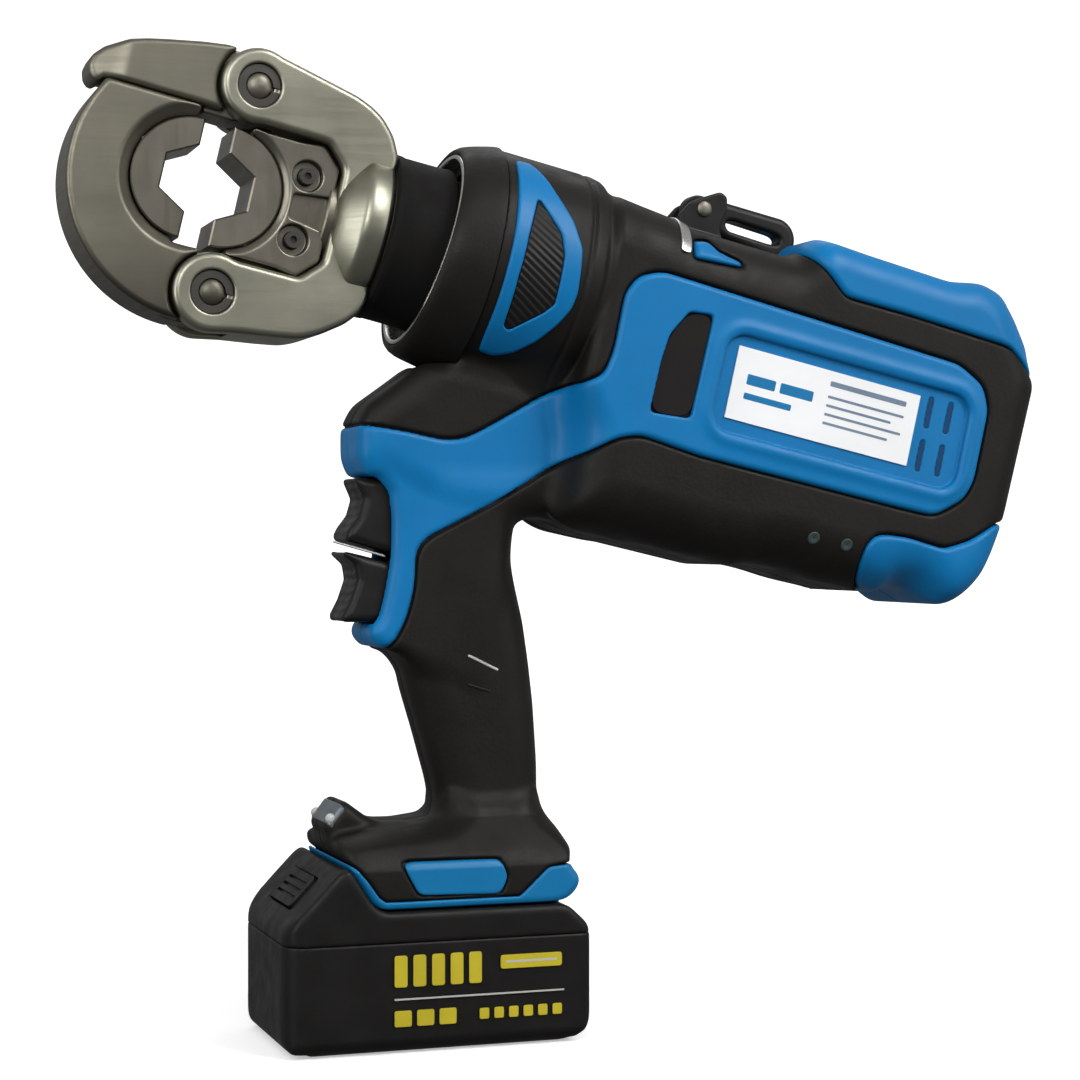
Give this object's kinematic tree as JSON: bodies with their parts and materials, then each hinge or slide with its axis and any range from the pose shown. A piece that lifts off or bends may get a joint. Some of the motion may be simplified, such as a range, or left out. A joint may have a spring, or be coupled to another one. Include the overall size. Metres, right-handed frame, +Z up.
{
  "type": "battery crimping tool",
  "caption": "Pistol-grip battery crimping tool: swivelling fork head with hinged jaw, latch and ram-driven half-round hex dies, two-colour housing, stacked triggers, slide-on battery pack.",
  "frame": {"origin": "centre of the battery pack's flat base, on the surface the tool stands on", "axes": "+Z up, -X towards the crimp head (front), +Y across the tool, to its right side"},
  "size_m": [0.3797, 0.0866, 0.3645],
  "materials": {
    "forged_steel": "forged, oiled, satin",
    "die_steel": "machined, satin",
    "pin_steel": "ground steel, dark",
    "spring_steel": "drawn wire",
    "bright_metal": "polished",
    "black_rubber": "soft overmould, matt",
    "blue_plastic": "moulded, satin gloss",
    "black_plastic": "moulded, fine texture",
    "white_plate": "printed plate, blank",
    "smoked_window": "smoked, glossy",
    "lens": "clear",
    "aluminium": "machined",
    "bronze": "sintered bronze",
    "gear_steel": "cut and hardened",
    "copper": "windings",
    "board_green": "solder mask",
    "cell_wrap": "shrink wrap",
    "lead_rubber": "insulation",
    "seal_rubber": "nitrile"
  },
  "bodies": {
    "tool": {"housing_left": "blue_plastic", "housing_right": "blue_plastic", "overmould_left": "black_rubber", "overmould_right": "black_rubber", "housing_screws": "pin_steel", "badge_frames": "blue_plastic", "badge_inlays": "black_plastic", "rating_plates": "white_plate", "side_windows": "smoked_window", "nose_ring": "bright_metal", "nose_collar": "black_rubber", "swivel_bush": "bronze", "loop_bracket": "black_plastic", "pump_block": "aluminium", "pump_plunger": "gear_steel", "shaft_bearings": "bright_metal", "ring_gear": "gear_steel", "gear_case": "aluminium", "motor_can": "aluminium", "motor_stator": "copper", "oil_reservoir": "seal_rubber", "control_board": "board_green", "trigger_switch": "black_plastic", "trigger_springs": "spring_steel", "work_light": "lens", "battery_leads": "lead_rubber", "terminal_block": "black_plastic"},
    "head": {"yoke": "forged_steel", "hinge_pins": "pin_steel", "pin_retaining_rings": "pin_steel", "latch_spring": "spring_steel", "cylinder": "forged_steel", "neck_sleeve": "black_rubber", "ram_return_spring": "spring_steel"},
    "jaw": {"jaw": "forged_steel", "fixed_die": "die_steel"},
    "latch": {"latch_lever": "forged_steel"},
    "ram": {"ram": "die_steel", "piston_seal": "seal_rubber", "moving_die": "die_steel", "die_screws": "bright_metal"},
    "trigger_advance": {"trigger_advance": "black_plastic"},
    "trigger_release": {"trigger_release": "black_plastic"},
    "loop": {"hanging_loop": "black_rubber"},
    "battery": {"battery_base": "black_plastic", "battery_cover": "black_plastic", "battery_screws": "pin_steel", "battery_cells": "cell_wrap", "battery_contacts": "bronze", "button_spring": "spring_steel"},
    "battery_button": {"battery_button": "black_plastic"},
    "rotor": {"motor_shaft": "gear_steel", "motor_rotor": "gear_steel", "cooling_fan": "black_plastic", "sun_gear": "gear_steel"},
    "carrier": {"eccentric_shaft": "gear_steel", "eccentric_bearing": "bright_metal"},
    "planet_1": {"planet_gear_1": "gear_steel"},
    "planet_2": {"planet_gear_2": "gear_steel"},
    "planet_3": {"planet_gear_3": "gear_steel"}
  },
  "joints": [
    {"name": "head_swivel", "type": "hinge", "parent": "tool", "child": "head", "pos_m": [-0.081, 0, 0.3135], "axis": [0.9744, 0, -0.225], "continuous": true},
    {"name": "jaw_pivot", "type": "hinge", "parent": "head", "child": "jaw", "pos_m": [-0.07992, 0, 0.27374], "axis": [0, -1, 0], "range_deg": [0, 55]},
    {"name": "latch_pivot", "type": "hinge", "parent": "head", "child": "latch", "pos_m": [-0.0626, 0, 0.34876], "axis": [0, 1, 0], "range_deg": [0, 77], "stiffness_Nm_per_rad": 0.25, "springref_deg": -103.13, "deforming": ["latch_spring"]},
    {"name": "ram_slide", "type": "slide", "parent": "head", "child": "ram", "axis": [-0.9744, 0, 0.225], "range_m": [0, 0.0105], "stiffness_N_per_m": 3000, "springref_m": -0.015, "deforming": ["ram_return_spring"]},
    {"name": "trigger_advance_press", "type": "slide", "parent": "tool", "child": "trigger_advance", "axis": [1, 0, 0], "range_m": [0, 0.005], "stiffness_N_per_m": 600, "springref_m": -0.005, "deforming": ["trigger_springs"]},
    {"name": "trigger_release_press", "type": "slide", "parent": "tool", "child": "trigger_release", "axis": [1, 0, 0], "range_m": [0, 0.005], "stiffness_N_per_m": 600, "springref_m": -0.005, "deforming": ["trigger_springs"]},
    {"name": "loop_fold", "type": "hinge", "parent": "tool", "child": "loop", "pos_m": [0.1144, 0, 0.31303], "axis": [0, -1, 0], "range_deg": [0, 155]},
    {"name": "battery_slide", "type": "slide", "parent": "tool", "child": "battery", "axis": [-1, 0, 0], "range_m": [0, 0.12]},
    {"name": "battery_button_press", "type": "slide", "parent": "battery", "child": "battery_button", "axis": [0.7197, 0, -0.6943], "range_m": [0, 0.003], "stiffness_N_per_m": 800, "springref_m": -0.003, "deforming": ["button_spring"]},
    {"name": "rotor_spin", "type": "hinge", "parent": "tool", "child": "rotor", "pos_m": [0.14311, 0, 0.26176], "axis": [0.9744, 0, -0.225], "continuous": true},
    {"name": "carrier_spin", "type": "hinge", "parent": "tool", "child": "carrier", "pos_m": [0.09634, 0, 0.27256], "axis": [0.9744, 0, -0.225], "continuous": true},
    {"name": "planet_1_spin", "type": "hinge", "parent": "carrier", "child": "planet_1", "pos_m": [0.10683, 0, 0.28245], "axis": [0.9744, 0, -0.225], "continuous": true},
    {"name": "planet_2_spin", "type": "hinge", "parent": "carrier", "child": "planet_2", "pos_m": [0.10278, -0.01039, 0.26491], "axis": [0.9744, 0, -0.225], "continuous": true},
    {"name": "planet_3_spin", "type": "hinge", "parent": "carrier", "child": "planet_3", "pos_m": [0.10278, 0.01039, 0.26491], "axis": [0.9744, 0, -0.225], "continuous": true}
  ],
  "couplings": [
    {"joint": "latch_pivot", "follows": "jaw_pivot", "ratio": 1.4},
    {"joint": "carrier_spin", "follows": "rotor_spin", "ratio": 0.2},
    {"joint": "planet_1_spin", "follows": "rotor_spin", "ratio": -0.53333},
    {"joint": "planet_2_spin", "follows": "rotor_spin", "ratio": -0.53333},
    {"joint": "planet_3_spin", "follows": "rotor_spin", "ratio": -0.53333}
  ]
}
